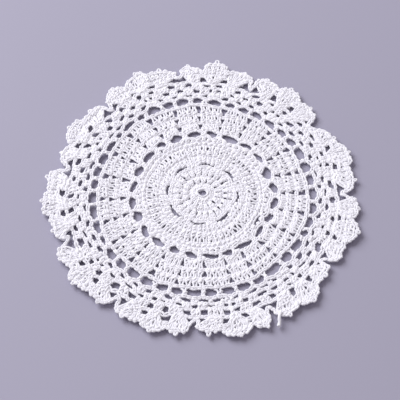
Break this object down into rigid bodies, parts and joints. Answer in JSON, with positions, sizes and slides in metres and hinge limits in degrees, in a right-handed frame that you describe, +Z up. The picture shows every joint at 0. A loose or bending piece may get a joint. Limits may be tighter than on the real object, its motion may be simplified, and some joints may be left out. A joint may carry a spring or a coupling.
{
  "type": "crochet coaster",
  "caption": "Round openwork crochet coaster of white cotton yarn: a flat, flexible mat with a scalloped picot edge, laid under a cup, vase or plate.",
  "frame": {"origin": "middle of the mat's outline, on the surface that the mat lies on", "axes": "+Z up, out of the mat's upper face; +X through the middle of one gap of the inner ring; the picture looks along +Y, turned 5 degrees towards +X"},
  "size_m": [0.1978, 0.1964, 0.0025],
  "materials": {
    "cotton_yarn": "matte"
  },
  "bodies": {
    "root": {"crochet_mat": "cotton_yarn"}
  },
  "joints": []
}
